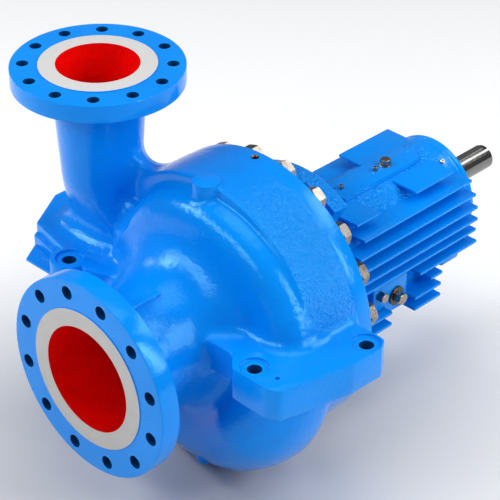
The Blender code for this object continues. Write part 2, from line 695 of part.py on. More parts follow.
def rotating_parts(axis):
    impeller(axis)
    impeller_nut(axis)
    shaft(axis)
    shaft_key(axis)
    shaft_sleeve(axis)


def housing_fittings(parent):
    """Plugs, washer and breather on the bearing housing."""
    hex_plug("breather_plug", parent, (0, 0.770, TOP_STRIP_Z), (0, 0, 1), 0.022, 0.013)
    hex_plug("top_plug_rear", parent, (0, 0.747, TOP_STRIP_Z), (0, 0, 1), 0.010, 0.008)
    hex_plug("top_plug_front", parent, (0, 0.648, TOP_STRIP_Z), (0, 0, 1), 0.010, 0.008)
    plug_washer("level_plug_washer", parent, (SIDE_PAD_X, 0.670, -0.086))
    hex_plug("level_plug", parent, (SIDE_PAD_X, 0.670, -0.086), (1, 0, 0), 0.022, 0.014, 0.004)
    hex_plug("side_plug", parent, (SIDE_PAD_X, 0.622, -0.064), (1, 0, 0), 0.018, 0.014)


def plug_washer(name, parent, foot):
    start = Vector(foot) + Vector((SEAT_GAP, 0, 0))
    body = rod(name, start, start + Vector((0.004, 0, 0)), 0.020, 28)
    return place_part(body, parent, steel(name + "_steel"))


def anchor(name, place, parent=None):
    empty = bpy.data.objects.new(name, None)
    bpy.context.collection.objects.link(empty)
    empty.location = place
    empty.parent = parent
    return empty


def build_pump():
    clear_scene()
    foot = (-FOOT_ORIGIN[0], -FOOT_ORIGIN[1], -FOOT_BOTTOM)
    pump = anchor("pump_frame", foot)
    volute_casing(pump)
    case_wear_ring(pump)
    casing_cover(pump)
    seal_gland(pump)
    bearing_housing(pump)
    drive_end_cover(pump)
    pump_end_cover(pump)
    oil_isolator("drive_end_isolator", pump, 0.9316 + SEAT_GAP, 0.945)
    oil_isolator("pump_end_isolator", pump, 0.524, 0.5327 - SEAT_GAP)
    housing_fittings(pump)
    rotating_parts(anchor("shaft_axis", (0, 0, 0), pump))


build_pump()
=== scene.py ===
import json
import math

import bmesh
import bpy
from bpy.props import FloatProperty, FloatVectorProperty, IntProperty, PointerProperty
from mathutils import Matrix, Vector


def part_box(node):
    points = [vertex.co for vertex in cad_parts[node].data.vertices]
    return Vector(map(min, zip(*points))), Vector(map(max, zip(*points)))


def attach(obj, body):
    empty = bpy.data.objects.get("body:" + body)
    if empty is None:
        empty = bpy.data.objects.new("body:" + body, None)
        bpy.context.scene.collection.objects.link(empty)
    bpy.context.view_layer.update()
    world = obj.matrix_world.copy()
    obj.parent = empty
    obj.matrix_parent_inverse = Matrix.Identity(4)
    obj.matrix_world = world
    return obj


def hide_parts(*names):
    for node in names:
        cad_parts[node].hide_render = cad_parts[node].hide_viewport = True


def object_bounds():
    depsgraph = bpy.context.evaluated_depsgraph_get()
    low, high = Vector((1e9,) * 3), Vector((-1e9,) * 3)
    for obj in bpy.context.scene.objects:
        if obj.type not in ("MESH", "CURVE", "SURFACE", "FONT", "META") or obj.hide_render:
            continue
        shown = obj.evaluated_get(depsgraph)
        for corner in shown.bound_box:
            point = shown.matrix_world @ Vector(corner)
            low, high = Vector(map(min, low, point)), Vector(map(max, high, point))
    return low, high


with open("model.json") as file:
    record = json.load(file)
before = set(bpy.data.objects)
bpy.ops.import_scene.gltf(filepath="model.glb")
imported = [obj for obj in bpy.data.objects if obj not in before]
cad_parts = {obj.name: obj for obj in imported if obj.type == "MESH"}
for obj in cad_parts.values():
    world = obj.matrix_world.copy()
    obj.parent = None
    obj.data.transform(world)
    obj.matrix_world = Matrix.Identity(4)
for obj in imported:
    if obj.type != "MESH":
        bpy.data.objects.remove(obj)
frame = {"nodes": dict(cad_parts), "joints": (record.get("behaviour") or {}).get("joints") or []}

bl_info = {
    "name": "Centrifugal pump looks",
    "version": (1, 0, 0),
    "blender": (4, 5, 0),
    "location": "View3D > Sidebar > Pump",
    "description": "Castings, fasteners, machined parts and finishes of an overhung process pump",
    "category": "Object",
}

# Every piece is modelled about the shaft, with Y = 0 on the suction face and Z = 0 on
# the shaft's axis, and then put in its place: the joint gives the axis, the casing the face.
AXIS = frame["joints"][0]["pos_m"]
PLACE = Matrix.Translation((AXIS[0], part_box("volute_casing")[0][1], AXIS[2]))
CAD_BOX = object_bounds()
NODES = frame["nodes"]
TO_Z = Matrix.Rotation(math.pi / 2, 4, "X")

# Volute sections at clock angles counted from the top, seen from the suction end:
# clock angle, outer radius, height of the outer half, reach to the front, squareness
VOLUTE_STATIONS = (
    (-80, 0.19, 0.05, 0.064, 2.6), (-61, 0.2, 0.052, 0.064, 2.6),
    (-46, 0.231, 0.06, 0.064, 2.6), (-27, 0.248, 0.07, 0.064, 2.6),
    (0, 0.25, 0.066, 0.061, 2.4), (40, 0.261, 0.066, 0.06, 2.4),
    (60, 0.266, 0.068, 0.061, 2.4), (75, 0.276, 0.072, 0.068, 2.6),
    (100, 0.287, 0.085, 0.095, 2.4), (128, 0.303, 0.1, 0.128, 2.1),
    (150, 0.309, 0.1, 0.116, 2.0), (170, 0.311, 0.1, 0.1, 2.0),
    (200, 0.316, 0.1, 0.085, 2.0), (235, 0.328, 0.1, 0.08, 2.0),
    (270, 0.343, 0.1, 0.08, 2.0))
VOLUTE_Y = 0.297
VOLUTE_REAR = 0.072
VOLUTE_INNER_RADIUS = 0.118
VOLUTE_WALL = 0.016
VOLUTE_STEP_DEG = 5
CRISP_FILLET = 0.0055
TONGUE_DEG = -46
# Throat from the volute's end up into the neck: height, left, right, front, back, squareness
THROAT_STATIONS = (
    (-0.02, -0.347, -0.12, 0.248, 0.362, 3.2), (0.062, -0.349, -0.146, 0.248, 0.362, 3.2),
    (0.1, -0.349, -0.168, 0.241, 0.362, 3.0), (0.12, -0.349, -0.18, 0.2345, 0.362, 2.75),
    (0.14, -0.3485, -0.1905, 0.2275, 0.3625, 2.45), (0.155, -0.349, -0.1965, 0.2225, 0.363, 2.25),
    (0.17, -0.3495, -0.1992, 0.2185, 0.364, 2.08), (0.185, -0.3503, -0.2, 0.216, 0.3655, 2.03),
    (0.197, -0.3509, -0.1996, 0.2152, 0.3663, 2.0), (0.207, -0.3512, -0.1993, 0.215, 0.3666, 2.0))

DRUM_FRONT_Y = 0.292
DRUM_REAR_Y = 0.402
DRUM_RADIUS = 0.271
COVER_BACK_Y = 0.436
COVER_BORE_RADIUS = 0.0346
EYE_HOLE = (-0.005, 0.417)

# Flanges: height of the raised faces, then radii of faces, bolt circles, bolt holes and bores
RAISED_FACE = 0.0016
SUCTION_FACE_RADIUS = 0.135
SUCTION_BOLT_CIRCLE = 0.1651
SUCTION_HOLE_RADIUS = 0.0127
SUCTION_BORE_RADIUS = 0.1016
DISCHARGE = Vector((-0.2753, 0.2908, 0.4047))
DISCHARGE_FACE_RADIUS = 0.108
DISCHARGE_BOLT_CIRCLE = 0.1349
DISCHARGE_HOLE_RADIUS = 0.0111
DISCHARGE_BORE_RADIUS = 0.0765
NECK_TOP_RADIUS = 0.0875
FLANGE_BOLTS = 12
BOLT_STEP_DEG = 30
FIRST_BOLT_DEG = 15

FOOT_TOP = 0.062
FOOT_BOTTOM = -0.004
FOOT_BOLTS = ((0.238, 0.171), (0.325, 0.357))
SPOT_FACE_DEPTH = 0.004
RIGHT_FOOT = [
    (0.1, 0.171), (0.185, 0.171), (0.204, 0.15), (0.216, 0.1405), (0.293, 0.14), (0.317, 0.15),
    (0.352, 0.295), (0.3537, 0.365), (0.3418, 0.386), (0.315, 0.389), (0.1, 0.389)]
RIGHT_FOOT_RADII = (0, 0.006, 0.012, 0.012, 0.016, 0.02, 0.05, 0.012, 0.012, 0.006, 0)
RIGHT_FOOT_SOLE = [
    (0.21, 0.15), (0.22, 0.1455), (0.291, 0.145), (0.313, 0.153), (0.347, 0.295),
    (0.349, 0.365), (0.338, 0.382), (0.298, 0.384), (0.294, 0.21), (0.28, 0.194), (0.21, 0.194)]

BOSS_TOP = Vector((-0.001, 0.292, 0.277))
BOSS_DEPTH = 0.087
DRAIN_CLOCK_DEG = 168
DRAIN_Y = 0.231

FIN_LEVELS = [0.1 - 0.0255 * index for index in range(10)]
STRIP_Z = 0.1086
BARREL_RADIUS = 0.106
HOUSING_BORE_RADIUS = 0.0306
HOUSING_REAR_Y = 0.893
SEAT_GAP = 0.0003

# Places of the casing's finishes in its row of materials
CAST, LINING, DISCHARGE_FACE, SMOOTH, HOLE, ROUGH_CAST, SUCTION_FACE = range(7)

# Depths of the bumps in the finishes, and the pitch of the lathe's rings
PEEL_DEPTH = 0.00058
CAST_DEPTH = 0.0012
LINING_DEPTH = 0.0011
GROOVE_DEPTH = 0.00006
SCRATCH_DEPTH = 0.00008
LATHE_PITCH = 1500.0

# Studio: azimuth (0 in front, 90 on the right), height angle, distance, width, height and glow
STAGE_MIDDLE = Vector((-0.3, 0.1, 0.1))
SOFTBOXES = {
    "front": (-16, 38, 4.2, 4.2, 0.8, 7.8),
    "front left": (-58, 38, 4.2, 1.3, 1.0, 13.0),
    "right": (101, 28, 4.2, 0.42, 2.5, 15.0),
    "second right": (120, 28, 4.2, 0.42, 2.5, 15.0),
    "rear": (156, 44, 4.2, 2.2, 1.3, 5.5),
    "left": (-84, 24, 4.2, 0.5, 0.5, 11.0),
    "top": (200, 84, 3.6, 2.4, 2.4, 2.1),
}
SKY_COLOUR = (0.92, 0.96, 1.0, 1)
SKY_GLOW = 0.18
CAMERA_PLACE = (1.85008, -2.04952, 2.08297)
# To the camera's right, up and back
CAMERA_AXES = (
    (0.71061, 0.70357, 0.00394), (-0.3858, 0.38497, 0.83842), (0.58838, -0.59731, 0.54501))
CAMERA_LENS = 144.78


# ---- sizes and colours

LENGTH = {"unit": "LENGTH", "subtype": "DISTANCE"}
COLOUR = {"size": 3, "min": 0, "max": 1, "subtype": "COLOR"}


class PumpSizes(bpy.types.PropertyGroup):
    """Sizes that a user would change"""
    grain: FloatProperty(
        name="Casting grid", description="Grid that the casting's forms are blended on",
        default=0.0026, min=0.002, max=0.02, **LENGTH)
    fillet: FloatProperty(
        name="Fillets", description="Radius between the drum and the right foot",
        default=0.011, **LENGTH)
    wall_fillet: FloatProperty(
        name="Wall fillets", description="Radius between the volute and the feet",
        default=0.018, **LENGTH)
    throat_fillet: FloatProperty(
        name="Throat fillet", description="Radius between the throat and the left foot",
        default=0.029, **LENGTH)
    thinning: FloatProperty(
        name="Thinning", description="Share of the casting's faces that is kept",
        default=0.38, min=0.05, max=1.0, subtype="FACTOR")
    neck_fillet: FloatProperty(
        name="Neck fillet", description="Radius between the neck and the drum",
        default=0.03, **LENGTH)
    nut_width: FloatProperty(
        name="Nut width", description="Width across the flats of the cover nuts",
        default=0.0413, **LENGTH)
    nut_height: FloatProperty(
        name="Nut height", description="Height of the cover nuts", default=0.0212, **LENGTH)
    nut_circle: FloatProperty(
        name="Nut circle", description="Radius of the circle of cover nuts",
        default=0.2465, **LENGTH)
    nut_count: IntProperty(
        name="Nuts", description="How many nuts hold the cover", default=20, min=4)
    fin_thickness: FloatProperty(
        name="Fin thickness", description="Thickness of the cooling fins",
        default=0.006, **LENGTH)


class PumpColours(bpy.types.PropertyGroup):
    """Colours of the finishes"""
    paint: FloatVectorProperty(
        name="Paint", description="Enamel on the castings", default=(0.001, 0.24, 0.825), **COLOUR)
    lining: FloatVectorProperty(
        name="Lining", description="Coating inside both nozzles",
        default=(0.9, 0.002, 0.001), **COLOUR)
    steel: FloatVectorProperty(
        name="Steel", description="Bare machined steel", default=(0.56, 0.54, 0.51), **COLOUR)
    bronze: FloatVectorProperty(
        name="Bronze", description="Turned bronze", default=(0.5, 0.33, 0.13), **COLOUR)
    floor: FloatVectorProperty(
        name="Floor", description="Studio floor", default=(0.96, 0.96, 0.96), **COLOUR)


def sizes():
    return bpy.context.scene.pump_sizes


def colours():
    return bpy.context.scene.pump_colours


# ---- mesh tools

CALM = ("SMOOTH", {"factor": 0.5, "iterations": 2})


def clock_point(radius, clock_deg, y):
    """Point at a radius and clock angle about the shaft."""
    clock = math.radians(clock_deg)
    return Vector((radius * math.sin(clock), y, radius * math.cos(clock)))


def eased(outline, radii, steps=5, closed=False):
    """An outline with its corners rounded, one radius for each corner."""
    points = []
    count = len(outline)
    for index, radius in enumerate(radii):
        here = Vector(outline[index])
        if not radius or not closed and index in (0, count - 1):
            points.append(tuple(here))
            continue
        back = Vector(outline[index - 1]) - here
        ahead = Vector(outline[(index + 1) % count]) - here
        reach = radius / math.tan(back.angle(ahead) / 2)
        reach = min(reach, back.length * 0.49, ahead.length * 0.49)
        start = here + back.normalized() * reach
        end = here + ahead.normalized() * reach
        for step in range(steps + 1):
            share = step / steps
            points.append(tuple(start * (1 - share) ** 2 + here * 2 * share * (1 - share)
                                + end * share ** 2))
    return points


def turned(profile, segments=96):
    """A solid of revolution about the shaft's axis from (radius, Y) points."""
    shape = bmesh.new()
    line = [shape.verts.new((radius, y, 0)) for radius, y in profile]
    edges = [shape.edges.new(pair) for pair in zip(line, line[1:] + line[:1])
             if pair[0].co.x > 0 or pair[1].co.x > 0]
    bmesh.ops.spin(shape, geom=line + edges, axis=(0, 1, 0), angle=math.tau, steps=segments,
                   use_merge=True)
    bmesh.ops.remove_doubles(shape, verts=shape.verts, dist=1e-6)
    bmesh.ops.recalc_face_normals(shape, faces=shape.faces)
    return shape


def rotation(degrees, axis):
    return Matrix.Rotation(math.radians(degrees), 4, axis)


def moved(shape, matrix):
    bmesh.ops.transform(shape, matrix=matrix, verts=shape.verts)
    return shape


def upright(profile, centre, segments=72):
    """A solid of revolution about a vertical axis from (radius, Z) points."""
    return moved(turned(profile, segments), Matrix.Translation((*centre, 0)) @ TO_Z)


def rod(start, end, radius, segments=32, end_radius=None, edge=0.0):
    """A round or many-sided bar, or a cone, between two points, with eased ends."""
    start, end = Vector(start), Vector(end)
    shape = bmesh.new()
    turn = (end - start).to_track_quat("Z", "Y").to_matrix().to_4x4()
    bmesh.ops.create_cone(
        shape, cap_ends=True, segments=segments, radius1=radius, radius2=end_radius or radius,
        depth=(end - start).length, matrix=Matrix.Translation((start + end) / 2) @ turn)
    if edge:
        rims = [item for item in shape.edges
                if any(len(face.verts) == segments for face in item.link_faces)]
        soften(shape, rims, edge)
    return shape


def soften(shape, edges, offset, segments=2):
    bmesh.ops.bevel(shape, geom=list(edges), offset=offset, segments=segments, profile=0.5,
                    affect="EDGES", clamp_overlap=True, material=-1)
    return shape


def block(low, high, edge=0.0):
    """A block between two corners with eased edges."""
    low, high = Vector(low), Vector(high)
    shape = bmesh.new()
    size = Matrix.Diagonal((*(high - low), 1))
    bmesh.ops.create_cube(shape, size=1, matrix=Matrix.Translation((low + high) / 2) @ size)
    return soften(shape, shape.edges, edge, 3) if edge else shape


def plate(outline, bottom, top, edge=0.0):
    """A flat plate with an outline in X and Y, and eased rims."""
    shape = bmesh.new()
    ring = [shape.verts.new((x, y, bottom)) for x, y in outline]
    face = shape.faces.new(ring)
    raised = [item for item in bmesh.ops.extrude_face_region(shape, geom=[face])["geom"]
              if isinstance(item, bmesh.types.BMVert)]
    bmesh.ops.translate(shape, verts=raised, vec=(0, 0, top - bottom))
    bmesh.ops.recalc_face_normals(shape, faces=shape.faces)
    if edge:
        rims = [item for item in shape.edges
                if abs(item.verts[0].co.z - item.verts[1].co.z) < 1e-6]
        soften(shape, rims, edge)
    return shape


def lofted(rings):
    """A closed body through rings of points, flat at both ends."""
    shape = bmesh.new()
    loops = []
    for ring in rings:
        points = [shape.verts.new(point) for point in ring]
        loops.append([shape.edges.new(pair) for pair in zip(points, points[1:] + points[:1])])
    for near, far in zip(loops, loops[1:]):
        bmesh.ops.bridge_loops(shape, edges=near + far)
    bmesh.ops.holes_fill(shape, edges=loops[0] + loops[-1])
    bmesh.ops.recalc_face_normals(shape, faces=shape.faces)
    return shape


def plus(meshes, name="work"):
    """One mesh from several meshes, which are kept."""
    whole = bmesh.new()
    for mesh in meshes:
        whole.from_mesh(mesh)
    result = bpy.data.meshes.new(name)
    whole.to_mesh(result)
    whole.free()
    return result


def as_mesh(shapes, name="work"):
    """One mesh from several shapes, which are used up."""
    spares = [bpy.data.meshes.new("spare") for _ in shapes]
    for shape, spare in zip(shapes, spares):
        shape.to_mesh(spare)
        shape.free()
    mesh = plus(spares, name)
    for spare in spares:
        bpy.data.meshes.remove(spare)
    return mesh


def as_shape(mesh):
    shape = bmesh.new()
    shape.from_mesh(mesh)
    return shape


def placed(name, data):
    """An object that shows some data, in the scene."""
    thing = bpy.data.objects.new(name, data)
    bpy.context.scene.collection.objects.link(thing)
    return thing


def through(mesh, *steps):
    """The mesh after a row of modifiers, each given as its type and settings."""
    carrier = placed("carrier", mesh)
    for kind, settings in steps:
        step = carrier.modifiers.new(kind.lower(), kind)
        for key, value in settings.items():
            setattr(step, key, value)
    depsgraph = bpy.context.evaluated_depsgraph_get()
    result = bpy.data.meshes.new_from_object(carrier.evaluated_get(depsgraph))
    bpy.data.objects.remove(carrier)
    return result


def combined(mesh, shapes, operation):
    """The mesh joined with shapes, or cut by them, each group of shapes free of overlaps."""
    tool = placed("tool", as_mesh(shapes))
    settings = {"operation": operation, "solver": "MANIFOLD", "object": tool}
    result = through(mesh, ("BOOLEAN", settings))
    bpy.data.objects.remove(tool)
    return result


def united(mesh, *groups):
    """The mesh joined with one group of shapes after another."""
    for shapes in groups:
        mesh = combined(mesh, shapes, "UNION")
    return mesh


def grown(mesh, radius, grid):
    """Grow a body and shrink it back, which fills its inner corners to a radius."""
    out = ("DISPLACE", {"strength": radius / 2, "mid_level": 0.0})
    back = ("DISPLACE", {"strength": -radius / 2, "mid_level": 0.0})
    blend = ("REMESH", {"mode": "VOXEL", "voxel_size": grid})
    return through(mesh, *(blend, CALM, out) * 2, *(blend, CALM, back) * 2)


def piece(name, mesh, finishes, sharp_deg=32.0, choose=None):
    """Put a finished mesh into the pump as one piece, with a finish chosen for each face."""
    mesh.name = name
    mesh.materials.clear()
    mesh.shade_smooth()
    mesh.set_sharp_from_angle(angle=math.radians(sharp_deg))
    for finish in finishes:
        mesh.materials.append(finish)
    if choose:
        for face in mesh.polygons:
            face.material_index = choose(face.center, face.normal)
    mesh.transform(PLACE)
    thing = placed(name, mesh)
    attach(thing, "pump")
    return thing


# ---- finishes

def maths(operation):
    """A method that combines a value with another value or a number."""
    def combine(self, other):
        return self.finish.node("ShaderNodeMath", {"operation": operation}, {0: self, 1: other})
    return combine


class Value:
    """A shader socket that takes part in Python expressions."""
    __add__, __sub__ = maths("ADD"), maths("SUBTRACT")
    __mul__, __pow__ = maths("MULTIPLY"), maths("POWER")
    most = maths("MAXIMUM")

    def __init__(self, finish, socket):
        self.finish, self.socket = finish, socket


class Finish:
    """A material built around one Principled shader."""

    def __init__(self, name, **constants):
        self.material = bpy.data.materials.new(name)
        self.material.use_nodes = True
        self.tree = self.material.node_tree
        self.shader = self.tree.nodes["Principled BSDF"]
        for key, value in constants.items():
            self.input(key).default_value = value
        self.place = self.node("ShaderNodeTexCoord", {}, {}, "Object")

    def input(self, key):
        """The shader's socket for a name such as base_color."""
        return self.shader.inputs[key.replace("_", " ").title().replace("Ior", "IOR")]

    def node(self, kind, settings, inputs, output=0):
        """Any node: its settings first, then the values or links of its sockets."""
        made = self.tree.nodes.new(kind)
        for key, value in settings.items():
            setattr(made, key, value)
        for key, value in inputs.items():
            if isinstance(value, Value):
                self.tree.links.new(value.socket, made.inputs[key])
            else:
                made.inputs[key].default_value = value
        return Value(self, made.outputs[output])

    def feed(self, **links):
        """Link what varies over the surface to the shader."""
        for key, value in links.items():
            self.tree.links.new(value.socket, self.input(key))
        return self.material

    def noise(self, scale, detail=2.0, rough=0.5):
        inputs = {"Vector": self.place, "Scale": scale, "Detail": detail, "Roughness": rough}
        return self.node("ShaderNodeTexNoise", {}, inputs, "Fac")

    def spread(self, value, low, high, to_low=0.0, to_high=1.0):
        """Map a range of a value to another range, and hold it at both ends."""
        inputs = {"Value": value, "From Min": low, "From Max": high,
                  "To Min": to_low, "To Max": to_high}
        return self.node("ShaderNodeMapRange", {}, inputs)

    def mixed(self, share, first, second):
        """Mix two colours, each a triple or a colour link."""
        inputs = {0: share}
        for index, colour in ((6, first), (7, second)):
            inputs[index] = colour if isinstance(colour, Value) else (*colour, 1)
        return self.node("ShaderNodeMix", {"data_type": "RGBA"}, inputs, 2)

    def bump(self, height, distance, below=None):
        """The normal over a height, on top of any bump below it."""
        inputs = {"Height": height, "Distance": distance}
        if below:
            inputs["Normal"] = below
        return self.node("ShaderNodeBump", {}, inputs)

    def axes(self):
        """X, Y and Z about the shaft, from the object's own coordinates."""
        inputs = {0: self.place, 1: PLACE.translation}
        about = self.node("ShaderNodeVectorMath", {"operation": "SUBTRACT"}, inputs)
        split = self.tree.nodes.new("ShaderNodeSeparateXYZ")
        self.tree.links.new(about.socket, split.inputs[0])
        return [Value(self, socket) for socket in split.outputs]


def shade(colour, factor):
    return tuple(min(1.0, part * factor) for part in colour)


def paint(name, cast, peel=1.0, dimmed=1.0, lump=1.2, smooth_sides=False):
    """Glossy enamel: orange peel on top, and the sand's grain below it where it is cast."""
    finish = Finish(name, specular_ior_level=0.4, specular_tint=(0.3, 0.85, 1.0, 1.0))
    colour = shade(colours().paint, dimmed)
    drift = finish.spread(finish.noise(5.0), 0.35, 0.65)
    specks = finish.spread(finish.noise(60.0, 3.0), 0.55, 0.75, 0.0, 0.12)
    tone = finish.mixed(drift, shade(colour, 0.94), shade(colour, 1.05))
    tone = finish.mixed(specks, tone, shade(colour, 0.75))
    normal = finish.bump(finish.noise(230.0) + finish.noise(80.0) * 0.8, PEEL_DEPTH * peel)
    if cast:
        height = finish.noise(150.0, 2.0, 0.55) + finish.noise(45.0) * lump
        if smooth_sides:
            x, _, z = finish.axes()
            height = height * finish.spread(x, 0.03, 0.1, 0.1) * finish.spread(z, 0.0, 0.1, 0.1)
        normal = finish.bump(height, CAST_DEPTH * cast, normal)
    gloss = finish.spread(finish.noise(22.0, 3.0), 0.3, 0.7, 0.09, 0.15)
    return finish.feed(base_color=tone, roughness=gloss, normal=normal)


def lining():
    """Red coating inside the nozzles, brushed on unevenly, with painted light and shade: lighter to
    the upper left, darker where less light falls.
    """
    finish = Finish("red_lining")
    colour = colours().lining
    x, _, z = finish.axes()
    runs = finish.noise(40.0, 3.0, 0.6)
    # Painted light and shade: lighter to the upper left, darker to the lower right and up in the
    # discharge bore
    painted_shade = finish.spread(x - z, -0.02, 0.16, 0.0, 0.9).most(finish.spread(z, 0.15, 0.2, 0.0, 0.25))
    tone = finish.mixed(painted_shade, shade(colour, 1.1), shade(colour, 0.42))
    tone = finish.mixed(finish.spread(runs, 0.5, 0.75, 0.0, 0.25), tone, shade(colour, 0.6))
    normal = finish.bump(finish.noise(120.0, 3.0, 0.6) + finish.noise(320.0) * 0.6, LINING_DEPTH)
    gloss = finish.spread(runs, 0.3, 0.7, 0.14, 0.24)
    return finish.feed(base_color=tone, roughness=gloss, normal=normal)


def turned_metal(name, colour, centre=(0, 0, 0), roughness=0.32, metallic=1.0, stain=0.82,
                 across=(0, 2)):
    """Metal with the fine rings that a lathe tool leaves about a centre, across two axes."""
    finish = Finish(name, metallic=metallic)
    axes = finish.axes()
    one, two = (axes[index] - centre[index] for index in across)
    radius = (one * one + two * two) ** 0.5
    rings = finish.node("ShaderNodeMath", {"operation": "SINE"}, {0: radius * LATHE_PITCH})
    wander = finish.noise(35.0, 3.0)
    groove = rings * 0.5 + finish.noise(900.0) * 0.12
    tone = finish.mixed(finish.spread(wander, 0.35, 0.7), colour, shade(colour, stain))
    gloss = finish.spread(wander, 0.3, 0.7, roughness - 0.06, roughness + 0.08)
    return finish.feed(base_color=tone, roughness=gloss, normal=finish.bump(groove, GROOVE_DEPTH))


def plain_steel(name, colour, roughness=0.3):
    """Machined steel with fine scratches, slightly tarnished."""
    finish = Finish(name, metallic=1.0)
    scratch = finish.noise(420.0, 3.0, 0.6)
    stain = finish.noise(55.0, 4.0, 0.6)
    tarnish = (colour[0] * 0.62, colour[1] * 0.52, colour[2] * 0.42)
    tone = finish.mixed(finish.spread(stain, 0.45, 0.75, 0.0, 0.35), colour, tarnish)
    gloss = finish.spread(stain, 0.3, 0.75, roughness - 0.05, roughness + 0.14)
    return finish.feed(base_color=tone, roughness=gloss, normal=finish.bump(scratch, SCRATCH_DEPTH))


# ---- casing

def volute_station(clock_deg):
    for near, far in zip(VOLUTE_STATIONS, VOLUTE_STATIONS[1:]):
        if clock_deg <= far[0]:
            share = (clock_deg - near[0]) / (far[0] - near[0])
            return [a + (b - a) * share for a, b in zip(near[1:], far[1:])]
    return VOLUTE_STATIONS[-1][1:]


def squared(share, squareness):
    return math.copysign(abs(share) ** (2 / squareness), share)


def volute_ring(clock_deg, inset, count=48):
    """Cross-section of the volute at one clock angle."""
    outer, height, front, squareness = volute_station(clock_deg)
    middle = outer - height
    inner_height = middle - VOLUTE_INNER_RADIUS - 2 * inset
    ring = []
    for step in range(count):
        turn = math.tau * step / count
        to_front = math.cos(turn) < 0
        power = squareness if to_front else 2
        along, across = squared(math.cos(turn), power), squared(math.sin(turn), power)
        reach = (front if to_front else VOLUTE_REAR) - inset
        radius = middle + (height - inset if across > 0 else inner_height) * across
        ring.append(clock_point(radius, clock_deg, VOLUTE_Y + reach * along))
    return ring


def volute(inset=0.0, first=VOLUTE_STATIONS[0][0]):
    """The volute from a clock angle to its end, set in from its outside by a wall."""
    last = VOLUTE_STATIONS[-1][0]
    count = round((last - first) / VOLUTE_STEP_DEG)
    return lofted([volute_ring(first + (last - first) * index / count, inset)
                   for index in range(count + 1)])


def neck():
    """Round neck, which widens up to the discharge flange."""
    profile = [(0, 0.385), (NECK_TOP_RADIUS, 0.385), (0.0753, 0.19), (0, 0.19)]
    return upright(profile, DISCHARGE[:2])


def throat(count=56):
    """Wide throat under the neck, from the volute's end."""
    turns = [math.tau * step / count for step in range(count)]
    rings = []
    for z, left, right, front, back, squareness in THROAT_STATIONS:
        middle = Vector(((left + right) / 2, (front + back) / 2))
        half = Vector(((right - left) / 2, (back - front) / 2))
        rings.append([(middle.x + half.x * squared(math.cos(turn), squareness),
                       middle.y + half.y * squared(math.sin(turn), squareness), z)
                      for turn in turns])
    return lofted(rings)


def drum(front=DRUM_FRONT_Y):
    profile = [(0, front), (DRUM_RADIUS - 0.002, front), (DRUM_RADIUS, front + 0.002),
               (DRUM_RADIUS, DRUM_REAR_Y + 0.012), (0, DRUM_REAR_Y + 0.012)]
    return turned(profile, 144)


def suction_nozzle():
    """Nozzle that flares out into the front wall of the drum."""
    points = [(0, 0.03), (0.122, 0.03), (0.12, 0.12), (0.124, 0.154), (0.131, 0.178),
              (0.142, 0.198), (0.152, 0.209), (0.166, 0.2225), (0.181, 0.2312), (0.203, 0.237),
              (0.207, 0.262), (0.207, 0.3), (0, 0.3)]
    radii = (0, 0, 0.3, 0.2, 0.1, 0.1, 0.1, 0.1, 0.08, 0.004, 0, 0, 0)
    return turned(eased(points, radii))


def right_foot():
    outline = eased(RIGHT_FOOT, RIGHT_FOOT_RADII, closed=True)
    return plate(outline, FOOT_BOTTOM + 0.003, FOOT_TOP)


def right_foot_crisp():
    """The right foot again, with sharp rims, for after the blending; its sole is made on its own.
    """
    outline = eased(RIGHT_FOOT[1:-1], RIGHT_FOOT_RADII[1:-1], closed=True)
    return plate(outline, FOOT_BOTTOM + 0.004, FOOT_TOP + 0.0003, 0.0018)


def left_foot_top():
    """Flat top of the left foot."""
    top = [(-0.1, 0.2), (-0.19, 0.165), (-0.374, 0.2075), (-0.426, 0.298),
           (-0.425, 0.38), (-0.3, 0.389), (-0.1, 0.389)]
    return plate(top, 0.03, FOOT_TOP)


def left_foot_ledges():
    """Steps under the left foot's top, with the round pillar of its front bolt."""
    middle = [(-0.1, 0.2), (-0.19, 0.16), (-0.37, 0.1975), (-0.424, 0.298),
              (-0.423, 0.38), (-0.3, 0.388), (-0.1, 0.388)]
    ledge = [(-0.1, 0.2), (-0.2, 0.155), (-0.345, 0.155), *middle[2:]]
    base = [(-0.1, 0.2), (-0.205, 0.15), (-0.262, 0.15), (-0.3, 0.2), (-0.41, 0.33),
            (-0.405, 0.375), (-0.3, 0.387), (-0.1, 0.387)]
    steps = ((base, FOOT_BOTTOM, 0.014), (ledge, 0.0125, 0.018), (middle, 0.0175, 0.04))
    x, y = FOOT_BOLTS[0]
    pillar = rod((-x, y, FOOT_BOTTOM), (-x, y, FOOT_TOP + 0.0002), 0.036, 48, edge=0.0015)
    return [plate(*step, 0.0012) for step in steps] + [pillar]


def cast_body():
    """Neck, throat, drum, volute, nozzle and feet blended into one casting."""
    size = sizes()
    grid = size.grain * 1
    forms = as_mesh([volute(), suction_nozzle(), neck(), throat(), right_foot(), left_foot_top()])
    boss = rod(BOSS_TOP - Vector((0, 0, BOSS_DEPTH)), BOSS_TOP - Vector((0, 0, 0.002)), 0.0253, 64)
    blends = [grown(as_mesh([neck(), throat(), drum(0.297)]), size.neck_fillet, grid * 1.4),
              grown(forms, size.wall_fillet, grid * 1.3),
              grown(as_mesh([throat(), left_foot_top()]), size.throat_fillet, grid * 1.4),
              grown(as_mesh([drum(0.3), right_foot()]), size.fillet, grid * 1.3),
              grown(as_mesh([volute(), drum(), boss, throat()]), CRISP_FILLET, grid)]
    return through(plus([forms, *blends]), ("REMESH", {"mode": "VOXEL", "voxel_size": grid}),
                   CALM, ("DECIMATE", {"ratio": size.thinning}))


def bosses():
    """Round boss on top of the volute, drain boss below it and the flat pad on the nozzle."""
    low, along = clock_point(1, DRAIN_CLOCK_DEG, 0), Vector((0, DRAIN_Y, 0))
    return [rod(BOSS_TOP - Vector((0, 0, BOSS_DEPTH)), BOSS_TOP, 0.0255, 64, edge=0.0015),
            rod(low * 0.2 + along, low * 0.279 + along, 0.02, 48, edge=0.002),
            block((-0.012, 0.055, 0.05), (0.032, 0.15, 0.1245), 0.0022)]


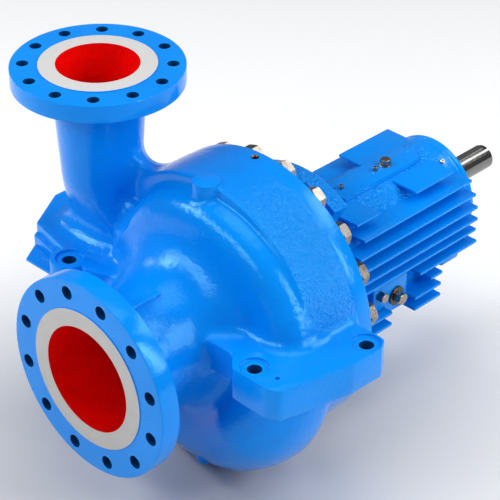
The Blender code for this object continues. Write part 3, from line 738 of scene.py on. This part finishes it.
def flange_profile(at, back, face, outer, thickness, root, neck_radius, length):
    """A flange from the height of its raised face, up (1) or down (-1) to the neck's end."""
    rows = ((0, 0), (face, 0), (face, RAISED_FACE), (outer, RAISED_FACE), (outer, thickness),
            (root, thickness), (neck_radius, length), (0, length))
    return eased([(radius, at + back * depth) for radius, depth in rows],
                 (0, 0.0004, 0, 0.002, 0.0025, 0.012, 0, 0))


def suction_flange():
    profile = flange_profile(0, 1, SUCTION_FACE_RADIUS, 0.1905, 0.0413, 0.122, 0.1215, 0.075)
    return turned(profile, 144)


def discharge_flange():
    profile = flange_profile(DISCHARGE.z, -1, DISCHARGE_FACE_RADIUS, 0.15875, 0.0366, 0.0895,
                             NECK_TOP_RADIUS, 0.07)
    return upright(profile, DISCHARGE[:2], 144)


def flange_bolt_holes():
    holes = []
    for index in range(FLANGE_BOLTS):
        clock = FIRST_BOLT_DEG + BOLT_STEP_DEG * index
        holes.append(rod(clock_point(SUCTION_BOLT_CIRCLE, clock, -0.01),
                         clock_point(SUCTION_BOLT_CIRCLE, clock, 0.052), SUCTION_HOLE_RADIUS, 40))
        ring = clock_point(DISCHARGE_BOLT_CIRCLE, clock, 0)
        at = DISCHARGE + Vector((ring.x, ring.z, 0))
        holes.append(rod(at + Vector((0, 0, 0.01)), at - Vector((0, 0, 0.047)),
                         DISCHARGE_HOLE_RADIUS, 40))
    return holes


def foot_holes():
    """Bolt holes with spot faces in both feet and a dowel hole in the right one."""
    floor = FOOT_TOP - SPOT_FACE_DEPTH
    points = [(0, FOOT_BOTTOM - 0.02), (0.0129, FOOT_BOTTOM - 0.02), (0.0129, floor),
              (0.0265, floor), (0.0265, FOOT_TOP), (0.03, FOOT_TOP + 0.008),
              (0.03, FOOT_TOP + 0.03), (0, FOOT_TOP + 0.03)]
    profile = eased(points, (0, 0, 0.0025, 0.002, 0.003, 0, 0, 0))
    holes = [upright(profile, (side * x, y), 48) for side in (1, -1) for x, y in FOOT_BOLTS]
    return holes + [rod((0.288, 0.175, 0.03), (0.288, 0.175, 0.08), 0.004, 24)]


def water_way():
    """Bores, impeller chamber and volute passage."""
    chamber = turned([(0, -0.01), (SUCTION_BORE_RADIUS, -0.01), (SUCTION_BORE_RADIUS, 0.24),
                      (0.108, 0.244), (0.198, 0.262), (0.198, 0.356), (0.216, 0.36),
                      (0.216, 0.43), (0, 0.43)])
    lower_bore = rod((DISCHARGE.x, 0.2998, -0.012), (DISCHARGE.x, 0.2908, 0.205), 0.04, 48, 0.06)
    bore = [(0, 0.195), (0.059, 0.195), (DISCHARGE_BORE_RADIUS, DISCHARGE.z - 0.02),
            (DISCHARGE_BORE_RADIUS, DISCHARGE.z + 0.01), (0, DISCHARGE.z + 0.01)]
    return as_shape(united(as_mesh([chamber]), [volute(VOLUTE_WALL, TONGUE_DEG)], [lower_bore],
                           [upright(bore, DISCHARGE[:2])]))


def drum_trim():
    """What stands behind the drum's rear face."""
    return turned([(0, DRUM_REAR_Y), (0.4, DRUM_REAR_Y), (0.4, 0.46), (0, 0.46)])


def in_bolt_hole(at, out):
    """Whether a face is the wall of one of the flanges' bolt holes or the feet's."""
    if at.z > 0.35:
        across, lengthwise = (at.x - DISCHARGE.x, at.y - DISCHARGE.y), out.z
        circle, radius = DISCHARGE_BOLT_CIRCLE, DISCHARGE_HOLE_RADIUS
    elif at.y < 0.06:
        across, lengthwise = (at.x, at.z), out.y
        circle, radius = SUCTION_BOLT_CIRCLE, SUCTION_HOLE_RADIUS
    else:
        apart = min(math.dist((abs(at.x), at.y), spot) for spot in FOOT_BOLTS)
        return at.z < FOOT_TOP - SPOT_FACE_DEPTH and apart < 0.0133 and abs(out.z) < 0.7
    clock = math.degrees(math.atan2(*across))
    index = round((clock - FIRST_BOLT_DEG) / BOLT_STEP_DEG)
    nearest = math.radians(BOLT_STEP_DEG * index + FIRST_BOLT_DEG)
    spot = (circle * math.sin(nearest), circle * math.cos(nearest))
    return abs(lengthwise) < 0.7 and math.dist(across, spot) < radius + 0.0004


def casing_finish(at, out):
    """The finish of a face: lined nozzles, turned raised faces, smooth flanges, rough drum."""
    radius = math.hypot(at.x, at.z)
    side = (at.x - DISCHARGE.x, at.y - DISCHARGE.y)
    apart = math.hypot(*side)
    if in_bolt_hole(at, out):
        return HOLE
    if at.y < 0.0012 and radius < SUCTION_FACE_RADIUS - 0.0005:
        return SUCTION_FACE
    if at.z > DISCHARGE.z - 0.0012 and apart < DISCHARGE_FACE_RADIUS - 0.0005:
        return DISCHARGE_FACE
    if at.y < 0.26 and radius < 0.1125:
        return LINING
    if at.z > 0.1 and apart < 0.0775 and out.x * side[0] + out.y * side[1] < 0:
        return LINING
    if at.y < 0.043 and radius > 0.13 or at.z > DISCHARGE.z - 0.038 and apart > 0.09:
        return SMOOTH
    if out.z > 0.99 and FOOT_TOP - 0.0055 < at.z < FOOT_TOP + 0.001:
        return SMOOTH
    on_drum = DRUM_RADIUS - 0.002 < radius < DRUM_RADIUS + 0.003
    return ROUGH_CAST if on_drum and DRUM_FRONT_Y + 0.004 < at.y < DRUM_REAR_Y - 0.002 else CAST


class PUMP_OT_casing(bpy.types.Operator):
    """Model the volute casing with both nozzles and both feet"""
    bl_idname = "pump.casing"
    bl_label = "Volute casing"

    def execute(self, context):
        sole = plate(RIGHT_FOOT_SOLE, FOOT_BOTTOM, FOOT_BOTTOM + 0.008)
        mesh = combined(cast_body(), [drum_trim()], "DIFFERENCE")
        crisp = bosses() + left_foot_ledges() + [right_foot_crisp()]
        mesh = united(mesh, *([form] for form in crisp),
                      [suction_flange(), discharge_flange(), sole])
        mesh = combined(mesh, [water_way()], "DIFFERENCE")
        mesh = combined(mesh, flange_bolt_holes() + foot_holes(), "DIFFERENCE")
        finishes = {
            CAST: paint("cast_enamel", 0.2),
            LINING: lining(),
            DISCHARGE_FACE: turned_metal(
                "raised_face_steel", (0.71, 0.7, 0.69), DISCHARGE, 0.32, 0.2, 0.95, (0, 1)),
            SMOOTH: paint("smooth_enamel", 0.0, 0.4),
            # Bolt-hole walls: the enamel darkened to a fifth, painted shade inside the holes
            HOLE: paint("hole_painted_shade_enamel", 0.0, 1.0, 0.22),
            ROUGH_CAST: paint("rough_cast_enamel", 4.2, lump=0.5, smooth_sides=True),
            # The same turned steel as the discharge face, painted darker as shade on the
            # front-facing suction face
            SUCTION_FACE: turned_metal(
                "shaded_suction_face_steel", (0.47, 0.46, 0.45), (0, 0, 0), 0.34, 0.2, 0.95),
        }
        casing = piece("casing", mesh, finishes.values(), choose=casing_finish)
        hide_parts("volute_casing")
        return {"FINISHED"}


# ---- cover fasteners

def hex_nut(width, height, bore):
    """A nut on Z with chamfered corners and an open bore."""
    corner = width / math.sqrt(3)
    blank = rod((0, 0, 0), (0, 0, height), corner, 6)
    cone = upright([(0, -0.01), (width / 2 - 0.004, -0.001), (corner + 0.004, 0.0056),
                    (corner + 0.004, height - 0.0056), (width / 2 - 0.004, height + 0.001),
                    (0, height + 0.01)], (0, 0), 48)
    nut = combined(as_mesh([blank]), [cone], "INTERSECT")
    hole = upright([(0, -0.01), (bore, -0.01), (bore, height - 0.002),
                    (bore + 0.002, height + 0.0001), (bore + 0.002, height + 0.01),
                    (0, height + 0.01)], (0, 0), 40)
    return combined(nut, [hole], "DIFFERENCE")


def stud_end(radius, reach):
    """A stud's free end on Z, with its chamfer."""
    return upright([(0, 0), (radius, 0), (radius, reach - 0.003), (radius - 0.003, reach),
                    (0, reach)], (0, 0), 40)


class PUMP_OT_cover_nuts(bpy.types.Operator):
    """Ring of nuts and stud ends that hold the cover"""
    bl_idname = "pump.cover_nuts"
    bl_label = "Cover nuts"

    def execute(self, context):
        size = sizes()
        nut = hex_nut(size.nut_width, size.nut_height, 0.0128)
        stud = as_mesh([stud_end(0.0124, size.nut_height + 0.004)])
        nuts, studs = bmesh.new(), bmesh.new()
        for index in range(size.nut_count):
            at = clock_point(size.nut_circle, 9 + 360 / size.nut_count * index, COVER_BACK_Y)
            spot = Matrix.Translation(at) @ (rotation(-90, "X") @ rotation(7 * index, "Z"))
            for whole, source in ((nuts, nut), (studs, stud)):
                count = len(whole.verts)
                whole.from_mesh(source)
                whole.verts.ensure_lookup_table()
                bmesh.ops.transform(whole, matrix=spot, verts=whole.verts[count:])
        for name, whole, steel in (
                ("cover_nuts", nuts, plain_steel("nut_steel", (0.27, 0.24, 0.21), 0.24)),
                ("cover_studs", studs, plain_steel("stud_steel", (0.34, 0.32, 0.3), 0.35))):
            piece(name, as_mesh([whole]), [steel], sharp_deg=20)
        return {"FINISHED"}


# ---- cover and bearing housing

def in_eye_hole(at, out):
    """1 for the wall of the lifting eye's threaded hole, 0 elsewhere on the cover."""
    return int(math.dist((at.x, at.y), EYE_HOLE) < 0.008 and at.z > 0.23 and abs(out.z) < 0.9)


class PUMP_OT_cover(bpy.types.Operator):
    """Cover behind the impeller, with the threaded hole for its lifting eye"""
    bl_idname = "pump.cover"
    bl_label = "Casing cover"

    def execute(self, context):
        face, radius = DRUM_REAR_Y + SEAT_GAP, DRUM_RADIUS - 0.001
        points = [(COVER_BORE_RADIUS, 0.36), (0.2157, 0.36), (0.2157, face), (radius, face),
                  (radius, COVER_BACK_Y), (COVER_BORE_RADIUS, COVER_BACK_Y)]
        rim = turned(eased(points, (0, 0.003, 0, 0.0022, 0.0022, 0.001), 3, True), 144)
        hole = upright([(0, 0.24), (0.006, 0.24), (0.006, 0.2675), (0.0078, 0.2697),
                        (0.0078, 0.29), (0, 0.29)], EYE_HOLE, 32)
        mesh = combined(as_mesh([rim]), [hole], "DIFFERENCE")
        finishes = [paint("machined_enamel", 0.0, 0.8),
                    plain_steel("thread_steel", (0.22, 0.13, 0.07), 0.4)]
        cover = piece("cover", mesh, finishes, choose=in_eye_hole)
        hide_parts("casing_cover")
        return {"FINISHED"}


def fin_reach(z):
    """Fin tips lie on one circle above the sump, and in one upright plane beside it."""
    return 0.142 if z < -0.05 else math.sqrt(0.1415 ** 2 - z ** 2)


def fin(level, front, rear, side=0):
    """A fin across the housing or on one side of it, with round corners and eased rims."""
    z = FIN_LEVELS[level]
    reach = fin_reach(z)
    left, right = 0.01 if side > 0 else -reach, -0.01 if side < 0 else reach
    outline = eased([(left, front), (right, front), (right, rear), (left, rear)],
                    (0.002, 0.002, 0.003, 0.003), closed=True)
    return plate(outline, z - sizes().fin_thickness, z, 0.0015)


def housing_fins():
    """All fins, each level from the front to the rear."""
    back = HOUSING_REAR_Y - 0.002
    spans = [(0, 0.58, 0.643), (0, 0.747, 0.858, 1), (0, 0.747, back, -1), (1, 0.58, back)]
    spans += [(level, 0.557, back) for level in range(2, 6)]
    spans += [(6, 0.722, back), (7, 0.755, 0.79), (8, 0.71, 0.788), (9, 0.71, 0.788),
              (7, 0.557, 0.598), (8, 0.557, 0.645), (9, 0.557, 0.645)]
    return [fin(*span) for span in spans]


def adapter():
    """Drum between the cover and the bearing housing, open on both sides over the shaft seal."""
    front, back = COVER_BACK_Y + SEAT_GAP, COVER_BACK_Y + 0.0223
    points = [(0.085, front), (0.222, front), (0.222, back), (0.19, back), (0.19, 0.503),
              (0.2005, 0.503), (0.2005, 0.54), (BARREL_RADIUS, 0.54), (BARREL_RADIUS, 0.557),
              (0.088, 0.557), (0.088, 0.522), (0.1755, 0.522), (0.1755, back), (0.085, back)]
    radii = (0, 0.002, 0.002, 0.01, 0.004, 0.002, 0.004, 0.01, 0, 0.002, 0, 0.01, 0.008, 0.001)
    shape = as_mesh([turned(eased(points, radii, 4, True), 96)])
    edge = clock_point(0.262, 33.5, 0)
    for side in (1, -1):
        outline = [(side * x, y) for x, y in (
            (0.01, 0), (edge.x, edge.z), (0.262, edge.z), (0.262, -edge.z), (edge.x, -edge.z))]
        opening = moved(plate(outline, back, 0.546), rotation(-90, "X"))
        shape = combined(shape, [opening], "DIFFERENCE")
    return shape


def strip(half, top):
    """Machined strip along the top of the housing with a round rear end."""
    centre = 0.853 - 0.03
    outline = [(-half, 0.622), (half, 0.622)]
    outline += [(half * math.cos(turn), centre + half * math.sin(turn))
                for turn in (math.pi * step / 16 for step in range(17))]
    return plate(outline, 0.06, top, 0.0009)


def housing_finish(at, out):
    """1 on the cast barrel and adapter, 0 on the smooth fins and strip."""
    radius = math.hypot(at.x, at.z)
    across = (out.x * at.x + out.z * at.z) / max(radius, 1e-6)
    if at.y < 0.548 and across > 0.9 and radius > 0.18:
        return 1
    return int(0.556 < at.y < 0.87 and across > 0.98 and 0.104 < radius < 0.1075)


class PUMP_OT_bearing_housing(bpy.types.Operator):
    """Finned bearing housing with the adapter that carries it"""
    bl_idname = "pump.bearing_housing"
    bl_label = "Bearing housing"

    def execute(self, context):
        bore = HOUSING_BORE_RADIUS
        points = [(bore, 0.545), (BARREL_RADIUS, 0.545), (BARREL_RADIUS, 0.856), (0.109, 0.872),
                  (0.109, HOUSING_REAR_Y), (bore, HOUSING_REAR_Y)]
        barrel = turned(eased(points, (0, 0.001, 0.012, 0.006, 0.0012, 0), 4, True), 96)
        sump = block((-0.1, 0.57, -0.15), (0.1, 0.78, -0.012), 0.008)
        pads = [block((-0.126, 0.6055, -0.101), (0.126, 0.7025, -0.046), 0.004),
                block((-0.12, 0.812, -0.091), (0.12, 0.864, -0.041), 0.005)]
        mesh = united(as_mesh([barrel]), [sump], pads, housing_fins(),
                      [strip(0.0325, STRIP_Z - 0.0016)], [strip(0.03, STRIP_Z)],
                      [as_shape(adapter())])
        dimple = upright([(0, STRIP_Z - 0.003), (0.0042, STRIP_Z + 0.0002), (0.0042, 0.12),
                          (0, 0.12)], (0, 0.837), 24)
        slot = block((-0.0108, 0.629, STRIP_Z - 0.003), (-0.0083, 0.639, 0.12))
        shaft_way = rod((0, 0.5, 0), (0, 0.9, 0), bore, 48)
        mesh = combined(mesh, [dimple, slot, shaft_way], "DIFFERENCE")
        finishes = [paint("housing_enamel", 0.2, dimmed=0.95), paint("housing_rough_cast", 5.5)]
        housing = piece("finned_housing", mesh, finishes, choose=housing_finish)
        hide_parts("bearing_housing")
        return {"FINISHED"}


class PUMP_OT_end_cover(bpy.types.Operator):
    """Bearing cover at the drive end, with its shim line and grease nipple"""
    bl_idname = "pump.end_cover"
    bl_label = "Drive end cover"

    def execute(self, context):
        bore, face = HOUSING_BORE_RADIUS, HOUSING_REAR_Y + SEAT_GAP
        points = [(bore, face), (0.1086, face), (0.1086, face + 0.0085), (0.1072, face + 0.0095),
                  (0.109, face + 0.0105), (0.109, face + 0.021), (0.091, face + 0.021),
                  (0.091, face + 0.038), (bore, face + 0.038)]
        radii = (0, 0.0004, 0.0002, 0.0002, 0.001, 0.003, 0.004, 0.003, 0.001)
        mesh = as_mesh([turned(eased(points, radii, 3, True), 96)])
        cover = piece("end_cover", mesh, [paint("end_cover_enamel", 0.3)])
        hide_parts("drive_end_cover")
        points = [(0, 0.107), (0.0052, 0.107), (0.0052, 0.113), (0.0036, 0.115),
                  (0.0024, 0.115), (0.0022, 0.111), (0, 0.111)]
        radii = (0, 0, 0.0008, 0.0008, 0.0002, 0, 0)
        mesh = as_mesh([upright(eased(points, radii, 2), (0, 0), 24)])
        mesh.transform(Matrix.Translation((0, 0.8745, 0)) @ rotation(30.5, "Y"))
        steel = plain_steel("nipple_steel", (0.62, 0.6, 0.57), 0.2)
        piece("grease_nipple", mesh, [steel])
        return {"FINISHED"}


# ---- plugs

def hex_head(foot, direction, across_flats, height, turn_deg=0.0, collar=None):
    """A chamfered hexagon head standing on a face, on its collar where it has one."""
    corner, lift = across_flats / math.sqrt(3), SEAT_GAP
    parts = []
    if collar:
        radius, thickness = collar
        points = [(0, lift), (radius, lift), (radius, lift + thickness), (0, lift + thickness)]
        parts.append(upright(eased(points, (0, 0.0004, 0.0006, 0), 3, True), (0, 0), 40))
        lift += thickness - 0.0002
    top = lift + height
    blank = moved(rod((0, 0, lift), (0, 0, top), corner, 6), rotation(turn_deg, "Z"))
    cone = upright([(0, lift - 0.01), (corner + 0.003, lift - 0.01), (corner + 0.003, top - 0.0035),
                    (across_flats / 2 - 0.0008, top + 0.0003), (0, top + 0.003)], (0, 0), 48)
    head = combined(as_mesh([blank]), [cone], "INTERSECT")
    if parts:
        head = combined(head, parts, "UNION")
    turn = Vector(direction).to_track_quat("Z", "X").to_matrix().to_4x4()
    head.transform(Matrix.Translation(foot) @ turn)
    return head


class PUMP_OT_plugs(bpy.types.Operator):
    """Breather, plugs and washer on the bearing housing"""
    bl_idname = "pump.plugs"
    bl_label = "Plugs"

    def execute(self, context):
        steel = plain_steel("plug_steel", (0.36, 0.31, 0.26), 0.24)
        dark = plain_steel("washer_steel", (0.1, 0.09, 0.08), 0.22)
        up, right = (0, 0, 1), (1, 0, 0)
        # Foot, direction, width across the flats, height, turn, and collar of each plug's head
        heads = {
            "breather_plug": ((0, 0.77, STRIP_Z), up, 0.0185, 0.0112, 12, (0.0122, 0.0022)),
            "top_plug_rear": ((0, 0.7405, STRIP_Z), up, 0.0085, 0.0075, 20),
            "top_plug_front": ((0, 0.645, STRIP_Z), up, 0.0085, 0.0075, 5),
            "level_plug": ((0.1302, 0.67, -0.086), right, 0.022, 0.0155, 10),
            "side_plug": ((0.126, 0.622, -0.064), right, 0.018, 0.015, 25),
        }
        for name, head in heads.items():
            plug = piece(name + "_head", hex_head(*head), [steel], sharp_deg=18)
            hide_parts(name)
        points = [(0.009, SEAT_GAP), (0.0198, SEAT_GAP), (0.0198, 0.004), (0.009, 0.004)]
        mesh = as_mesh([turned(eased(points, (0, 0.0004, 0.001, 0.0004), 3, True), 48)])
        mesh.transform(Matrix.Translation((0.126, 0.67, -0.086)) @ rotation(-90, "Z"))
        washer = piece("level_plug_ring", mesh, [dark])
        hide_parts("level_plug_washer")
        return {"FINISHED"}


# ---- finishes of the nodes that keep their shape

class PUMP_OT_node_finishes(bpy.types.Operator):
    """Give every node that keeps its shape its own finish"""
    bl_idname = "pump.node_finishes"
    bl_label = "Finishes of the turned parts"

    def execute(self, context):
        steel, bronze = colours().steel, colours().bronze
        finishes = {
            "pump_end_cover": paint("front_cover_enamel", 0.0, 0.8),
            "case_wear_ring": turned_metal("wear_ring_bronze", bronze),
            "drive_end_isolator": turned_metal("isolator_bronze", bronze),
            "pump_end_isolator": turned_metal("isolator_bronze_front", bronze),
            "seal_gland": turned_metal("gland_steel", steel),
            "shaft": turned_metal("ground_steel", (0.22, 0.218, 0.215), roughness=0.16),
            "shaft_key": turned_metal("key_steel", (0.42, 0.41, 0.4), roughness=0.22, stain=0.95),
            "shaft_sleeve": turned_metal("sleeve_steel", steel, roughness=0.22),
            "impeller": plain_steel("cast_stainless", (0.5, 0.5, 0.48), 0.4),
            "impeller_nut": plain_steel("nut_stainless", steel, 0.3),
        }
        for name, finish in finishes.items():
            node = NODES[name]
            node.data.materials.clear()
            node.data.materials.append(finish)
        return {"FINISHED"}


# ---- stage

def softbox(name, azimuth_deg, height_deg, distance, width, height, glow):
    """A soft rectangle of light that faces the pump from an azimuth and a height angle."""
    azimuth, up = math.radians(azimuth_deg), math.radians(height_deg)
    level = math.cos(up)
    away = Vector((math.sin(azimuth) * level, -math.cos(azimuth) * level, math.sin(up)))
    data = bpy.data.lights.new(name, "AREA")
    data.shape, data.size, data.size_y = "RECTANGLE", width, height
    data.energy = glow * math.pi * width * height
    lamp = placed(name, data)
    lamp.location = STAGE_MIDDLE + away * distance
    lamp.rotation_euler = away.to_track_quat("Z", "Y").to_euler()


def floor_with_painted_shadow():
    """Pale floor with a painted shadow: darker under the pump, so that the lower faces mirror less
    of it.
    """
    finish = Finish("studio_floor", roughness=0.55)
    x, y, _ = finish.axes()
    x, y = x + 0.05, y - 0.28
    # Painted shadow: the floor's colour darkens towards the pump
    away = (x * x + y * y) ** 0.5 + finish.noise(1.5) * 0.2
    pale = colours().floor
    tone = finish.mixed(finish.spread(away, 0.34, 0.9), shade(pale, 0.58), pale)
    return finish.feed(base_color=tone)


class PUMP_OT_stage(bpy.types.Operator):
    """Pale floor, soft light and the camera"""
    bl_idname = "pump.stage"
    bl_label = "Stage"

    def execute(self, context):
        floor = bmesh.new()
        level = Matrix.Translation((0, 0, CAD_BOX[0][2] - 0.0005))
        bmesh.ops.create_grid(floor, x_segments=1, y_segments=1, size=6.0, matrix=level)
        mesh = as_mesh([floor], "floor")
        mesh.materials.append(floor_with_painted_shadow())
        placed("floor", mesh)

        world = bpy.data.worlds.new("studio")
        world.use_nodes = True
        sky = world.node_tree.nodes["Background"]
        sky.inputs[0].default_value, sky.inputs[1].default_value = SKY_COLOUR, SKY_GLOW
        bpy.context.scene.world = world
        bpy.context.scene.view_settings.view_transform = "Standard"
        for name, box in SOFTBOXES.items():
            softbox(name + " softbox", *box)

        data = bpy.data.cameras.new("camera")
        data.lens, data.clip_end = CAMERA_LENS, 100
        camera = placed("camera", data)
        turn = Matrix(CAMERA_AXES).transposed().to_4x4()
        camera.matrix_world = Matrix.Translation(CAMERA_PLACE) @ turn
        bpy.context.scene.camera = camera
        return {"FINISHED"}


class PUMP_PT_panel(bpy.types.Panel):
    """Pump pieces in the sidebar"""
    bl_idname = "PUMP_PT_panel"
    bl_label = "Pump"
    bl_space_type = "VIEW_3D"
    bl_region_type = "UI"
    bl_category = "Pump"

    def draw(self, context):
        for settings in (context.scene.pump_sizes, context.scene.pump_colours):
            for key in settings.__annotations__:
                self.layout.prop(settings, key)
        for operator in OPERATORS:
            self.layout.operator(operator.bl_idname)


OPERATORS = (PUMP_OT_stage, PUMP_OT_casing, PUMP_OT_cover, PUMP_OT_cover_nuts,
             PUMP_OT_bearing_housing, PUMP_OT_end_cover, PUMP_OT_plugs, PUMP_OT_node_finishes)
CLASSES = (PumpSizes, PumpColours, *OPERATORS, PUMP_PT_panel)


def register():
    for entry in CLASSES:
        bpy.utils.register_class(entry)
    bpy.types.Scene.pump_sizes = PointerProperty(type=PumpSizes)
    bpy.types.Scene.pump_colours = PointerProperty(type=PumpColours)


def unregister():
    del bpy.types.Scene.pump_colours
    del bpy.types.Scene.pump_sizes
    for entry in reversed(CLASSES):
        bpy.utils.unregister_class(entry)


def main():
    register()
    for operator in OPERATORS:
        group, name = operator.bl_idname.split(".")
        getattr(getattr(bpy.ops, group), name)()


if __name__ == "__main__":
    main()
